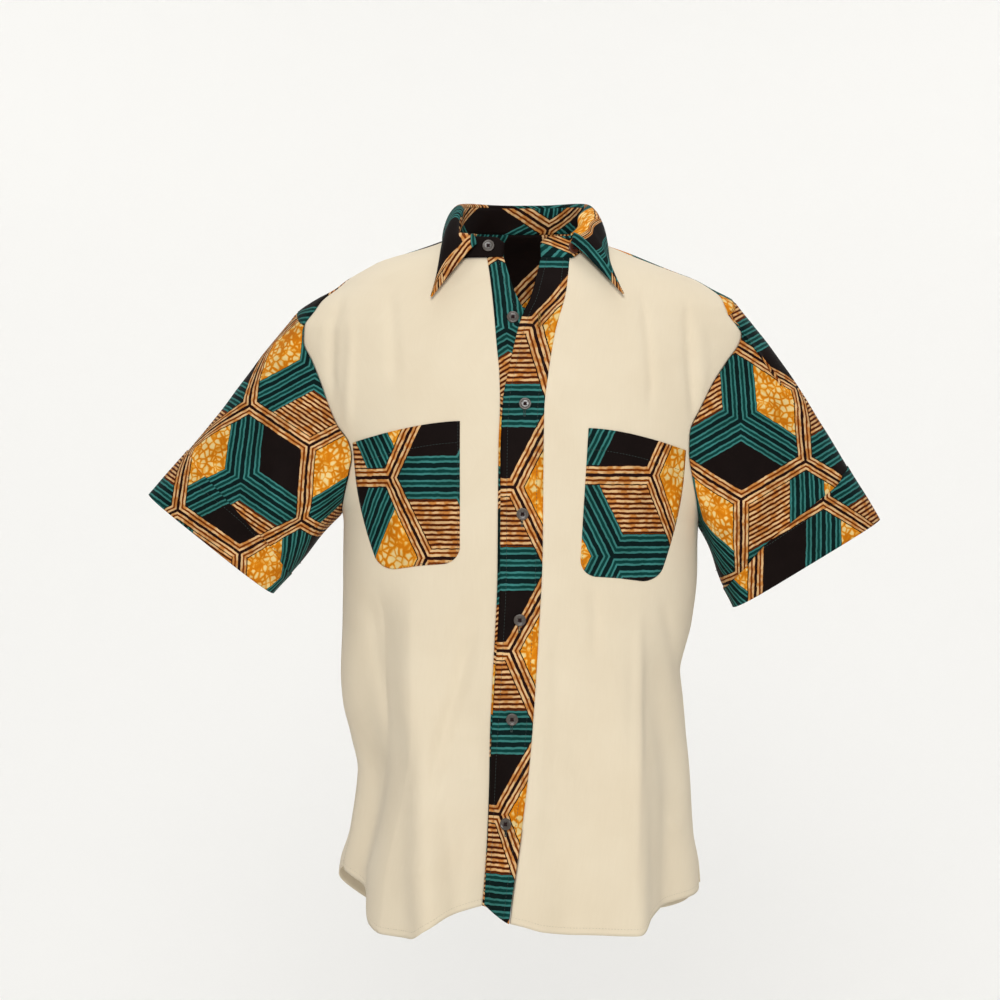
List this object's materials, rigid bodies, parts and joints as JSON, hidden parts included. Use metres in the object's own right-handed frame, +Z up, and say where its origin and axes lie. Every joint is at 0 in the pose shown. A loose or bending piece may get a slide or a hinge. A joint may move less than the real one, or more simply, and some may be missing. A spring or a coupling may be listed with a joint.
{
  "type": "short-sleeved printed shirt",
  "caption": "Short-sleeved button-front shirt in its worn, hollow shape: cream body with geometric wax-print sleeves, pockets, collar and button band.",
  "frame": {"origin": "the level where the collar meets the top of the shoulders, on the vertical line through the middle of the neck and chest, at the mount shoulders where the wearer holds the shirt up", "axes": "+Z up, the front faces -Y, and the wearer's left side is at +X"},
  "size_m": [0.7759, 0.2838, 0.7683],
  "materials": {
    "cream_cotton": "plain-woven unbleached cream cotton, matt, lightly creased",
    "wax_print": "wax-printed cotton in teal, black, brown and orange, with a slight sheen",
    "button_resin": "grey-brown shirt button, polished",
    "button_brown": "dark brown button, polished"
  },
  "bodies": {
    "root": {"front_left": "cream_cotton", "front_right": "cream_cotton", "back": "cream_cotton", "yoke": "wax_print", "band_outer": "wax_print", "band_under": "wax_print", "collar_stand": "wax_print", "collar_leaf": "wax_print", "sleeve_left": "wax_print", "sleeve_right": "wax_print", "sleeve_hem_left": "wax_print", "sleeve_hem_right": "wax_print", "pocket_left": "wax_print", "pocket_right": "wax_print", "button_1": "button_resin", "button_2": "button_resin", "button_3": "button_resin", "button_4": "button_resin", "button_5": "button_resin", "button_6": "button_resin", "button_stand": "button_resin", "button_under_collar": "button_brown"}
  },
  "joints": []
}
